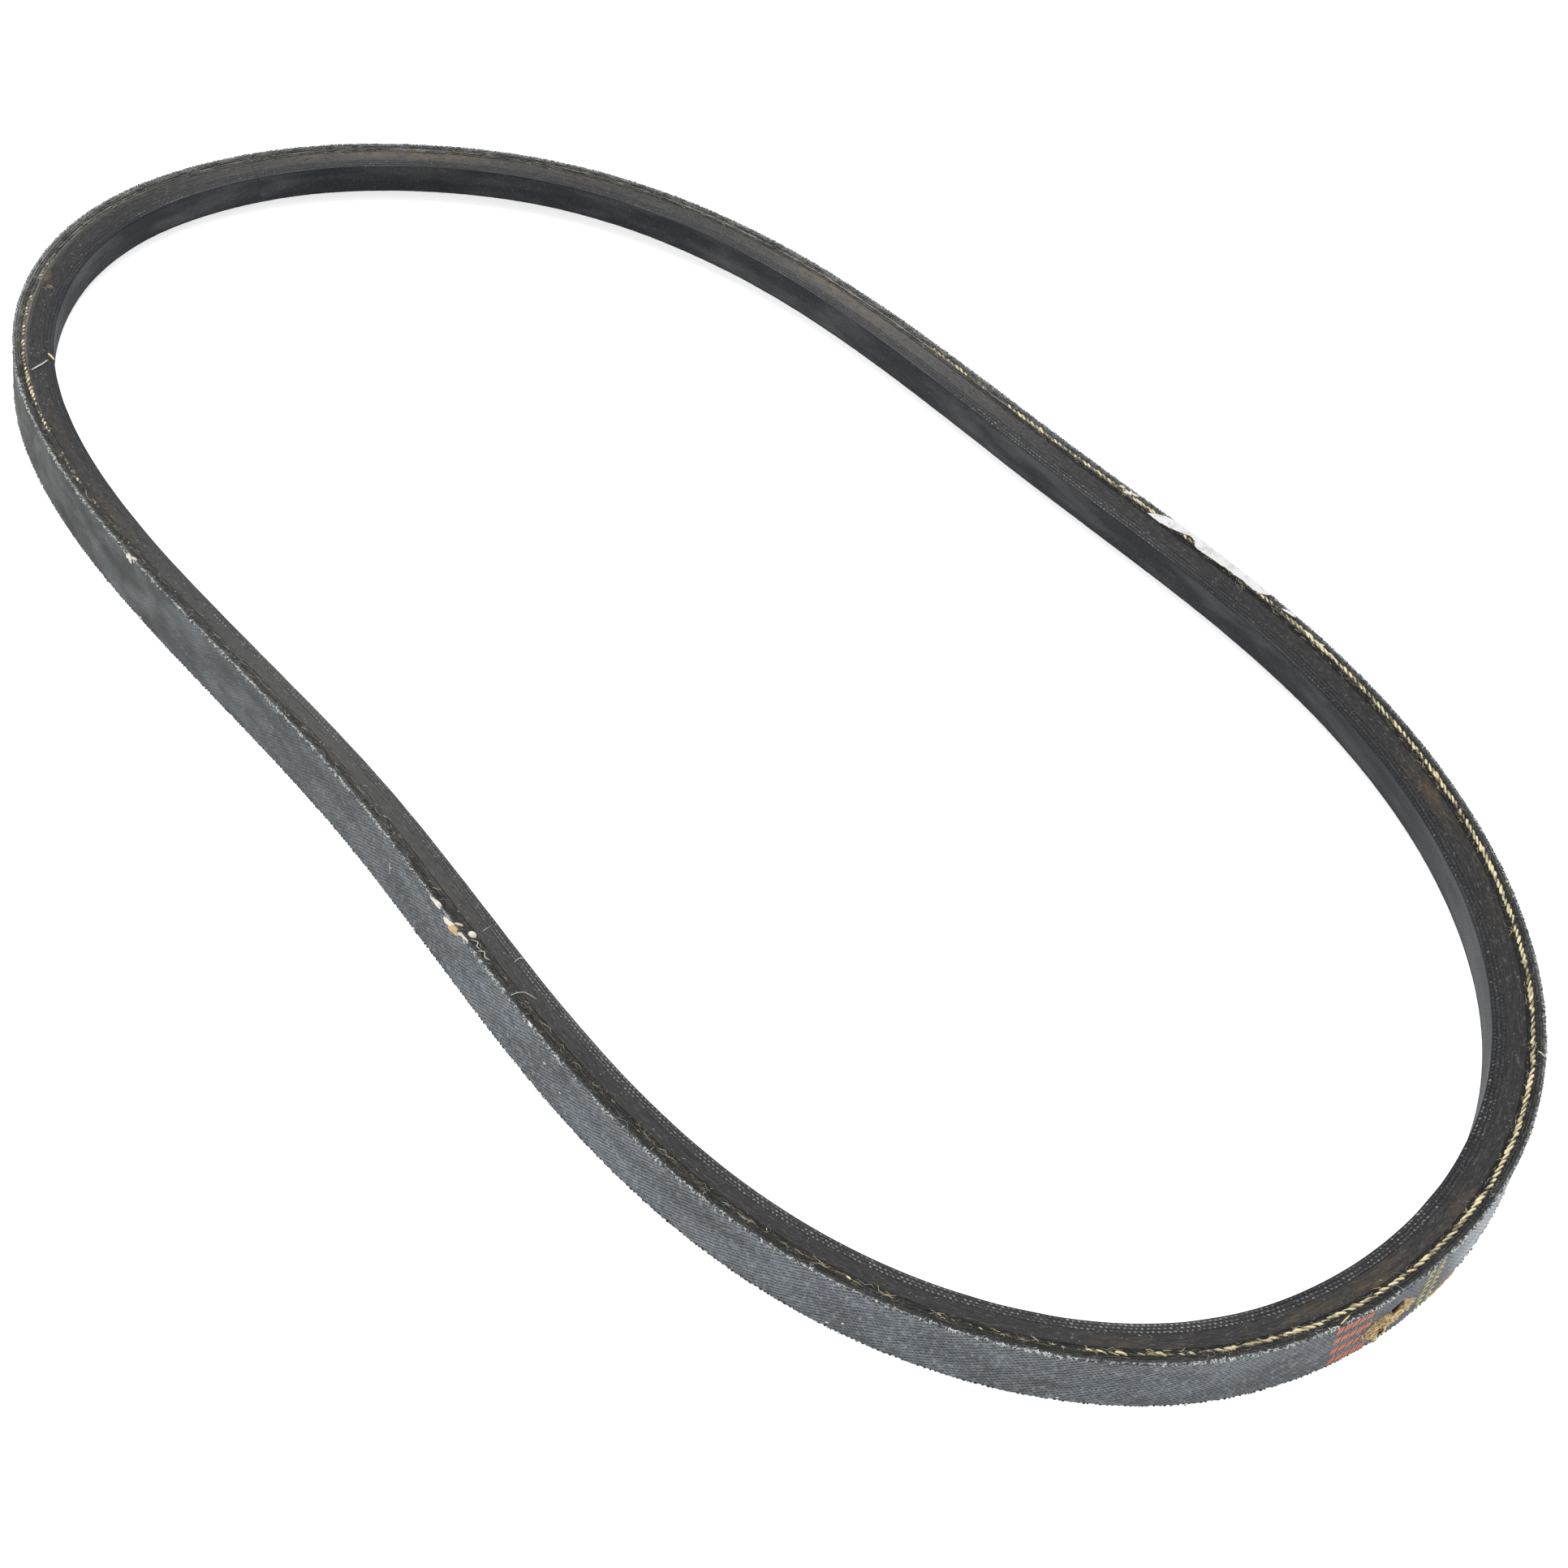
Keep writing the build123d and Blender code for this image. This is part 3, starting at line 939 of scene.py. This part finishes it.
def flank_pale(s, depth, height, face):
    """How pale the flanks and the base are rubbed."""
    rim = from_stops(RIM_PALE, s) * np.exp(-((depth - 0.8) / 1.2) ** 2)
    line_depth = CORD_DEPTH - from_stops(CORD_DRIFT, s)
    line = from_stops(LINE_PALE, s) * np.exp(-((depth - line_depth) / 0.55) ** 2)
    core = from_stops(CORE_PALE, s) * np.clip((depth - 2.4) / 0.8, 0, 1) * np.clip((8.0 - depth) / 1.4, 0, 1)
    plies = from_stops(PLY_PALE, s) * np.clip((depth - 6.6) / 1.4, 0, 1)
    mottled = 0.8 + 0.4 * smooth_noise(s, depth, 3.0, 0.7, 73)
    flank = np.maximum(rim, line) * mottled + core + plies + 0.5 * squeezed_ridge(s, depth)
    return np.where(face == "base", from_stops(BASE_PALE, s) + 0 * flank, flank)


# The back's paleness: a painted highlight at the right end, darker from 0.13 to 0.27 of the loop, and paler
# towards the upper corner; elsewhere the flanks' paleness
def cover_pale_and_highlight(s, depth, height, face):
    back = from_stops(BACK_PALE_AND_HIGHLIGHT, s) * (1 + 0.3 * smooth_noise(s, height, 5.0, 2.0, 74))
    back = back + 0.14 * np.exp(-(HALF_TOP - height) / 1.2)
    return np.where(face == "back", back, flank_pale(s, depth, height, face))


def dust_tint(s, depth, height, face):
    """Dust on the flanks that has settled where the pulleys don't rub."""
    mottled = 0.75 + 0.5 * smooth_noise(s, depth, 2.4, 1.1, 71)
    total = sum(strength * spot(s, depth, *where) for *where, strength in FLANK_DUST)
    return np.clip(total * mottled, 0, 1.2) * np.where(face == "top", 1.0, 0.35)


def base_tint(s, depth, height, face):
    """How dusty and faded the base face is: palest round the right end."""
    scuffed = 0.5 + 0.5 * smooth_noise(s, height, 12.0, 3.0, 72)
    return np.where(face == "base", 0.45 * stretch(s, *FADED_BASE) * (0.6 + 0.4 * scuffed), 0.0)


# ---------- the layers and the cord

def build_layers():
    """Each layer of the frame as a worn band in its place."""
    for index, name in enumerate(LAYERS):
        settings = dict(material=gum_material, slot="gum_rubber", tint=dust_tint, pale=flank_pale,
                        relief=cut_relief(100 + 5 * index, 0.09, 0.9, seam=0.14))
        if name == "back_cover_outer_ply":
            settings.update(material=cover_material, slot="cover_fabric", relief=cover_relief,
                            tint=cover_tear_and_pit_shade, pale=cover_pale_and_highlight, step=0.45, back_step=0.45, hidden=("base",),
                            strips=12)
        elif name == "back_cover_inner_ply":
            settings.update(material=cover_edge_material, slot="cover_fabric")
        elif name == "compression_rubber":
            settings.update(material=core_material, slot="core_rubber",
                            relief=cut_relief(131, 0.03, 2.2, 0.5))
        elif name == "base_ply_inner":
            settings.update(material=base_material, slot="base_fabric", tint=base_tint, base_step=0.5,
                            relief=cut_relief(141, 0.04, 1.2, 0.35, 0.06), hidden=("back",), strips=10)
        elif name.startswith("base_ply"):
            settings.update(material=ply_material, slot="base_fabric",
                            relief=cut_relief(150 + index, 0.04, 1.2))
        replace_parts(band(name + "_worn", DEPTHS[index], DEPTHS[index + 1], **settings), name)


def edge_cord(node, side):
    """A cord turn that a flank has cut open: three strands laid round each other, cut off level."""
    s = round_loop(CORD_STEP)
    angle = round_angles(CORD_SIDES)
    stand = from_stops(CORD_STAND, s) if side > 0 else LOWER_CORD_STAND + 0 * s
    stand = stand + 0.18 * smooth_noise(s, 0.0, 2.5, 1.0, 61) + 0.14 * smooth_noise(s, 5.0, 9.0, 1.0, 62)
    drift = 0.12 * smooth_noise(s, 0.0, 6.0, 1.0, 63) + 0.08 * smooth_noise(s, 9.0, 1.1, 1.0, 69)
    drift = drift - from_stops(CORD_DRIFT, s)
    tubes, tints = [], []
    for strand in range(STRANDS):
        twist = 2 * np.pi * (s * round(LENGTH / CORD_LAY) / LENGTH + strand / STRANDS)
        radius = STRAND_RADIUS * (1 + 0.5 * smooth_noise(s, strand * 3.0, 1.0, 1.0, 64))
        depth = CORD_DEPTH + drift + STRAND_OFFSET * np.cos(twist) + radius * np.cos(angle)
        proud = stand + STRAND_OFFSET * np.sin(twist) - radius * np.sin(angle)
        cut = CORD_CUT + 0.16 * smooth_noise(s, depth, 0.8, 0.4, 65 + strand)
        tubes.append(flank_surface(side)(s, depth, np.minimum(proud, cut)))
        shade = from_stops(CORD_SHADE, s) + 0.2 * smooth_noise(s + 0 * angle, strand * 2.0, 1.6, 1.0, 66)
        # Painted shade and light: each strand darker where it lies low between the others and paler on its
        # crown
        tints.append(shade + 0.5 * np.clip(proud - stand - 0.25, -0.7, 0.2))
    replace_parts(cord_tubes(node + "_strands", tubes, tints, 6, turned_over=side < 0), node)


def inner_cord():
    """The cord's turns inside the belt, which only a cut through it would show."""
    low, high = node_box("tensile_cord")
    reach = (high[2] - low[2]) / 2 - INNER_RADIUS
    s, angle = round_loop(INNER_STEP), round_angles(CORD_SIDES)
    depth = CORD_DEPTH + INNER_RADIUS * np.cos(angle)
    tubes = [place(s, depth, height - INNER_RADIUS * np.sin(angle))
             for height in np.linspace(-reach, reach, INNER_TURNS)]
    tints = [np.full(tube.shape[:2], 0.5) for tube in tubes]
    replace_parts(cord_tubes("tensile_cord_turns", tubes, tints, 4), "tensile_cord")


def cord_exposure(s):
    """How much of the cord shows, from 0 to 1."""
    return np.clip((from_stops(CORD_STAND, s) + STRAND_RADIUS + STRAND_OFFSET) / 0.8, 0, 1)


# ---------- yarn ends, stubs and broken fibres

def yarn_ends(name, side, seed):
    """Ends of the base plies' slanting yarns, cut through on the flank: a staggered row for each ply."""
    random = np.random.default_rng(seed)
    count = int(LENGTH / YARN_END_PITCH)
    rows = []
    for row, depth in enumerate((DEPTHS[6:9] + DEPTHS[7:10]) / 2):
        s = (np.arange(count) + 0.33 * row) * LENGTH / count + random.normal(0, 0.06, count)
        shown = 0.6 + 0.4 * np.clip(0.6 + smooth_noise(s, 3.0 * row, 28.0, 1.0, seed + 1), 0, 1)
        across = depth - 0.08 + random.normal(0, 0.04, count)
        rows.append((s, across, YARN_END_SIZE[0] * shown + random.normal(0, 0.07, count)))
    s, across, length = (np.concatenate(v) for v in zip(*rows))
    width = YARN_END_SIZE[1] + random.normal(0, 0.04, len(s))
    turn = YARN_END_SLANT + random.normal(0, 0.15, len(s))
    shade = 0.55 + 0.2 * smooth_noise(s, across, 20.0, 2.0, seed + 2) + random.normal(0, 0.1, len(s))
    shade = shade - 0.42 * sum(stretch(s, share, reach) for share, reach in DARK_YARN_ENDS)
    patches(name, flank_surface(side), s, across, np.clip(length, 0.2, 0.9), width, turn, 0.13,
            yarn_end_material, shade, sunk=0.02, flip=side < 0)


def corner_stubs(name, side, seed, material):
    """Stubs of the cover's slanting yarns along the belt's corner."""
    random = np.random.default_rng(seed)
    count = int(LENGTH / STUB_PITCH)
    s = np.arange(count) * LENGTH / count + random.normal(0, 0.16, count)
    size = np.clip(random.normal(0.55, 0.12, count), 0.2, 0.9)
    clean = np.clip(1.6 * smooth_noise(s, 7.0, 16.0, 1.0, seed + 1), 0, 1) * stretch(s, *CLEAN_STUBS)
    shade = random.normal(0.22, 0.08, count) + 0.75 * clean
    patches(name, corner_surface(side), s, random.normal(0.0, 0.08, count), size, size * 0.8,
            random.normal(0.5, 0.3, count), random.normal(0.2, 0.05, count), material, shade,
            sunk=0.06, flip=side < 0)


def scattered(count, seed, clump, cell=7.0):
    """Distances along the loop, thinned out in places so that the rest lie in clumps."""
    random = np.random.default_rng(seed)
    s = at_share(random.uniform(0, 1, count))
    return s[random.random(count) > clump * (0.5 + 0.7 * smooth_noise(s, 0.0, cell, 1.0, seed + 1))]


def corner_fray(name, side, seed, count, clump):
    """Pale broken fibres along the corner between the back and a flank."""
    s = scattered(count, seed, clump)
    random = np.random.default_rng(seed + 2)
    threads_on(name, corner_surface(side), s, random.normal(0.02, 0.16, len(s)), random, (0.3, 1.0),
               (0.0, 0.9), (0.02, 0.28), (0.04, 0.13), fray_material, (0.66, 0.18),
               curl=0.9, base=0.04)


def flank_fray(name, seed, count, depths, lengths, heading, lift, material, shade, radii=(0.03, 0.06),
               clump=0.7, weight=None):
    """Short fibres standing in the rough cut edges of the upper flank. weight(s) is how many of them stay."""
    s = scattered(count, seed, clump, cell=5.0)
    random = np.random.default_rng(seed + 2)
    if weight is not None:
        s = s[random.random(len(s)) < weight(s)]
    threads_on(name, flank_surface(1), s, random.uniform(*depths, len(s)), random, lengths, heading,
               (0.3 * lift, lift), radii, material, (shade, 0.12))


def fibres_on_upper_flank():
    fray, cord = fray_material, cord_material
    inwards = math.pi / 2
    flank_fray("cut_edge_fibres", 261, 5200, (0.2, 2.2), (0.4, 1.3), (inwards, 0.8), 0.12, fray,
               0.3)
    flank_fray("cut_edge_strands", 265, 2600, (1.0, 3.2), (1.5, 6.0), (0.0, 0.14), 0.12, fray,
               0.26, clump=0.6)
    flank_fray("cord_fuzz", 271, 3600, (2.1, 3.4), (0.5, 2.0), (0.0, 0.35), 0.2, cord, 0.5,
               (0.03, 0.07), weight=lambda s: 0.12 + 0.88 * cord_exposure(s))
    flank_fray("flank_lint", 281, 4200, (3.2, 9.6), (0.25, 0.9), (0.0, 0.9), 0.06, fray, 0.36,
               (0.02, 0.05), clump=0.8)
    flank_fray("cord_trace", 301, 900, (2.35, 2.95), (1.5, 5.0), (0.0, 0.07), 0.1, cord, 0.5,
               (0.025, 0.055), weight=lambda s: stretch(s, *CORD_TRACE))
    flank_fray("rust_tuft", 305, 9000, (4.4, 6.6), (0.6, 1.8), (0.9, 0.7), 0.2, cord, 0.4,
               (0.025, 0.055), clump=0.2, weight=lambda s: stretch(s, *RUST_TUFT))


# ---------- the marks that only this belt has

def gash_tufts():
    """Cotton pulled out of the gash, mostly along it, clear of its pits."""
    random = np.random.default_rng(81)
    tries = 900
    s = at_share(GASH_BODY[0]) + random.uniform(-7.5, 7.5, tries)
    height = random.uniform(-6.4, 4.0, tries)
    clear = (gash_torn(s, height) > 0.4) & (gash_pits(s, height) < 0.35)
    clear = clear & (oval(s, height, GASH_PITS[0]) > 1.5)
    threads_on("gash_cotton", back_surface, s[clear], height[clear], random, (0.7, 2.2), (GASH_BODY[4], 0.55),
               (0.05, 0.7), (0.06, 0.15), tan_material, (0.68, 0.16), curl=1.4, points=8, base=0.12)


def printed_marks():
    """Worn inspection marks on the back: four slanting rows of plain bars, and two rows of chevrons."""
    def on_cover(s, height):
        return cover_relief(s, np.zeros_like(s), height, np.full(s.shape, "back")) + 0.045

    def every(*counts):
        return (v.ravel() for v in np.meshgrid(*counts, indexing="ij"))

    def print_strokes(name, s, height, length, width, slant, rise, ink):
        patches(name, back_surface, s, height, length, width, slant, rise, ink, grid=(7, 3),
                sunk=0.0, floor=on_cover)

    row_height, column, stroke = every(RED_ROWS, range(5), range(2))
    s = at_share(RED_SHARE) - 0.06 * row_height + 1.75 * column + 0.75 * stroke
    print_strokes("red_bars", s, row_height + 0.2 * stroke, 2.3, 0.46, math.radians(74), 0.02, red_ink)

    random = np.random.default_rng(82)
    row, column, stroke = every(range(2), range(8), range(2))
    s = at_share(YELLOW_SHARE) + 2.9 * row + 1.0 * stroke + 0.08 * column
    height = -5.5 + 1.5 * column + random.normal(0, 0.1, len(s))
    slant = np.where(stroke == 0, CHEVRON_SLANT, -CHEVRON_SLANT) + random.normal(0, 0.15, len(s))
    print_strokes("yellow_dashes", s, height, 1.3, 0.5, slant, 0.01, yellow_ink)


def paper_scrap(name, scrap, seed):
    """A torn strip of paper glued to the flank: two faces and a rim, slightly cockled."""
    start, end, stops = scrap
    part_stops, upper_stops, lower_stops = np.array(stops).T
    step, rows = 0.2, 12
    front_lift, back_lift = 0.25, 0.13
    along = int((end - start) * LENGTH / step)
    part = np.linspace(0, 1, along)[:, None]
    s = at_share(start + (end - start) * part)
    ragged = 0.13 * smooth_noise(s, 0.0, 0.5, 1.0, seed) + 0.16 * smooth_noise(s, 4.0, 1.7, 1.0, seed + 1)
    upper = np.interp(part, part_stops, upper_stops) + 0.25 * ragged
    lower = np.maximum(np.interp(part, part_stops, lower_stops) + ragged, upper + 0.06)
    share = np.linspace(0, 1, rows)[None, :]
    depth = np.maximum(upper + (lower - upper) * share, 0.0)
    cockle = 0.09 * smooth_noise(s, depth, 3.0, 1.5, seed + 2)
    cockle = cockle + 0.05 * smooth_noise(s, depth, 0.9, 0.8, seed + 3)
    curl = 0.3 * np.exp(-part / 0.04) + 0.1 * share ** 4
    sheets = [flank_surface(1)(s, depth, lift + cockle + curl) for lift in (front_lift, back_lift)]
    number = np.arange(along * rows).reshape(along, rows)
    ring = np.concatenate([number[0], number[1:, -1], number[-1, -2::-1], number[-2:0:-1, 0]])
    beside = np.roll(ring, -1)
    rim = np.stack([ring, beside, beside + number.size, ring + number.size], axis=-1)
    face = grid_faces(1, along, rows).reshape(-1, 4)
    tear = np.exp(-(lower - depth) / 0.22)
    face_uv = cell_uv(1, along - 1, rows - 1) * [1, 0.45]
    uv = np.vstack([face_uv, face_uv[:, ::-1] + [0, 0.48], np.tile([0.0, 0.97], (len(rim), 4, 1))])
    piece = new_piece(name, np.stack(sheets), np.vstack([face, face[:, ::-1] + number.size, rim]),
                      paper_material, uv, tint=np.stack([tear, tear]))
    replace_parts(piece, "paper_label_scraps")


def glue_and_cotton():
    """Flakes that hang on the upper corner, a white blob, specks on the back, smears and bared cotton."""
    def ragged(strength, count, waves):
        return [rng.normal(0, strength, count) for _ in range(waves)]

    def bits(name, surface, rows, slant, rise, shade, grid, sunk, outline=()):
        share, across, length, width = np.array(rows).T[:4]
        patches(name, surface, at_share(share), across, length, width, slant, rise, glue_material,
                shade, grid=grid, sunk=sunk, outline=outline)

    bits("rim_chips", corner_surface(1), CORNER_FLAKES, *np.array(CORNER_FLAKES).T[4:], (9, 7), 0.05,
         ragged(0.16, len(CORNER_FLAKES), 4))
    bits("white_blob", flank_surface(1), WHITE_BLOB, 0.4, 0.75, 1.0, (11, 9), 0.05)
    bits("back_specks", back_surface, BACK_SPECKS, 0.3, 0.16, 0.9, (5, 5), 0.02)
    bits("glue_smears", flank_surface(1), GLUE_SMEARS, 0.05, 0.32, 0.85, (11, 7), 0.08,
         ragged(0.2, len(GLUE_SMEARS), 5))
    bits("lower_rim_cotton", back_surface, BARED_COTTON, 0.0, 0.2, 0.5, (9, 5), 0.04)


def loose_threads():
    """The few single threads and hairs that stand out: name, surface, radius, material and stops."""
    flank, back = flank_surface(1), back_surface
    pale, straw, tan = fray_material, cord_material, tan_material
    singles = [
        ("hair_a", flank, 0.075, pale,
         [(0.3273, 0.8, 0.1), (0.3272, 2.2, 0.5), (0.3275, 3.7, 0.7), (0.3293, 5.5, 0.3)]),
        ("hair_b", flank, 0.08, pale, [(0.3196, 7.0, 0.1), (0.3190, 8.4, 0.4), (0.3190, 9.8, 0.2)]),
        ("hair_c", flank, 0.06, pale, [(0.3112, 5.2, 0.1), (0.3109, 6.2, 0.7), (0.3106, 7.2, 0.4)]),
        ("curl_a", flank, 0.1, pale,
         [(0.3128, 1.3, 0.1), (0.3140, 2.2, 0.5), (0.3150, 1.2, 0.4), (0.3160, 1.9, 0.2)]),
        ("curl_b", flank, 0.09, pale,
         [(0.3158, 1.0, 0.1), (0.3166, 1.9, 0.6), (0.3176, 1.4, 0.3), (0.3184, 2.0, 0.1)]),
        ("hair_d", back, 0.07, pale, [(0.2866, 1.6, 0.1), (0.2873, 0.7, 0.3), (0.2874, -0.9, 0.1)]),
        ("straw_bit", flank, 0.16, straw, [(0.4853, 0.3, 0.25), (0.4865, 0.7, 0.35), (0.4877, 1.15, 0.3)]),
        ("gash_loop", back, 0.2, tan,
         [(0.4976, -0.6, 0.3), (0.4988, -0.2, 0.7), (0.4991, 0.9, 0.8), (0.4981, 1.6, 0.7),
          (0.4970, 1.0, 0.7), (0.4969, -0.1, 0.5), (0.4975, -0.9, 0.3)]),
        ("crossing_yarn", flank, 0.2, pale,
         [(0.1146, 3.9, 0.1), (0.1132, 5.2, 0.25), (0.1110, 6.9, 0.2), (0.1088, 8.3, 0.15)]),
        ("crossing_end", flank, 0.28, tan, [(0.1060, 8.5, 0.2), (0.1070, 9.2, 0.3), (0.1082, 9.8, 0.25)]),
        ("end_flake", flank, 0.13, pale, [(0.5583, 0.2, 0.1), (0.5588, 0.9, 0.6), (0.5594, 1.5, 0.3)]),
    ]
    for single in singles:
        single_thread(*single)


build_layers()
edge_cord("edge_cord_top", 1)
edge_cord("edge_cord_bottom", -1)
inner_cord()
yarn_ends("yarn_ends_top", 1, 201)
yarn_ends("yarn_ends_bottom", -1, 211)
corner_stubs("rim_nubs_top", 1, 221, fray_material)
corner_stubs("rim_nubs_bottom", -1, 231, stub_material)
corner_fray("rim_fray_top", 1, 241, 5200, 0.75)
corner_fray("rim_fray_bottom", -1, 251, 900, 0.9)
fibres_on_upper_flank()
gash_tufts()
printed_marks()
paper_scrap("label_strip", BIG_SCRAP, 291)
paper_scrap("label_crumb", SMALL_SCRAP, 295)
glue_and_cotton()
loose_threads()


# ---------- studio

def studio_floor(height, reach=4.0):
    mesh = bpy.data.meshes.new("floor")
    corners = [(-reach, -reach), (reach, -reach), (reach, reach), (-reach, reach)]
    mesh.from_pydata([(x, y, height) for x, y in corners], [], [(0, 1, 2, 3)])
    recipe = Recipe("floor_paper", roughness=0.95, specular=0.05)
    recipe.set("Base Color", (0.7, 0.7, 0.7, 1.0))
    recipe.set("Emission Color", (1.0, 1.0, 1.0, 1.0))
    recipe.set("Emission Strength", FLOOR_GLOW)
    mesh.materials.append(recipe.material)
    floor = bpy.data.objects.new("floor", mesh)
    bpy.context.scene.collection.objects.link(floor)


def softbox(name, place_at, size, power):
    """A square lamp that looks at the middle of the belt."""
    light = bpy.data.lights.new(name, "AREA")
    light.shape = "RECTANGLE"
    light.size = light.size_y = size
    light.energy = power
    lamp = bpy.data.objects.new(name, light)
    lamp.location = place_at
    lamp.rotation_euler = (-Vector(place_at)).to_track_quat("-Z", "Y").to_euler()
    bpy.context.scene.collection.objects.link(lamp)


def studio_camera(place_at, azimuth, elevation, roll, lens, shift):
    """A camera that looks along an azimuth, down by an elevation, and leans by a roll, all in degrees."""
    azimuth, elevation, roll = (math.radians(a) for a in (azimuth, elevation, roll))
    ahead = Vector((math.cos(azimuth) * math.cos(elevation), math.sin(azimuth) * math.cos(elevation),
                    -math.sin(elevation)))
    data = bpy.data.cameras.new("camera")
    data.lens = lens
    data.sensor_width = 36
    data.shift_x, data.shift_y = shift
    data.clip_start = 0.01
    camera = bpy.data.objects.new("camera", data)
    turned = ahead.to_track_quat("-Z", "Y") @ Quaternion((0, 0, 1), roll)
    camera.matrix_world = Matrix.LocRotScale(Vector(place_at), turned, None)
    bpy.context.scene.collection.objects.link(camera)
    bpy.context.scene.camera = camera


low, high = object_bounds()
studio_floor(float(low[2]))
world = bpy.data.worlds.new("studio")
world.use_nodes = True
world.node_tree.nodes["Background"].inputs["Color"].default_value = (1.0, 1.0, 1.0, 1.0)
world.node_tree.nodes["Background"].inputs["Strength"].default_value = 1.0
bpy.context.scene.world = world
softbox("key", (-0.5, -0.1, 1.2), 1.2, 13)
softbox("front", (0.7, -0.8, 0.7), 0.8, 1.5)
studio_camera((0.3025, -0.2439, 0.3268), 136.0, 44.59, 7.04, 48.38, (-0.0307, -0.0075))
bpy.context.scene.view_settings.view_transform = "Standard"
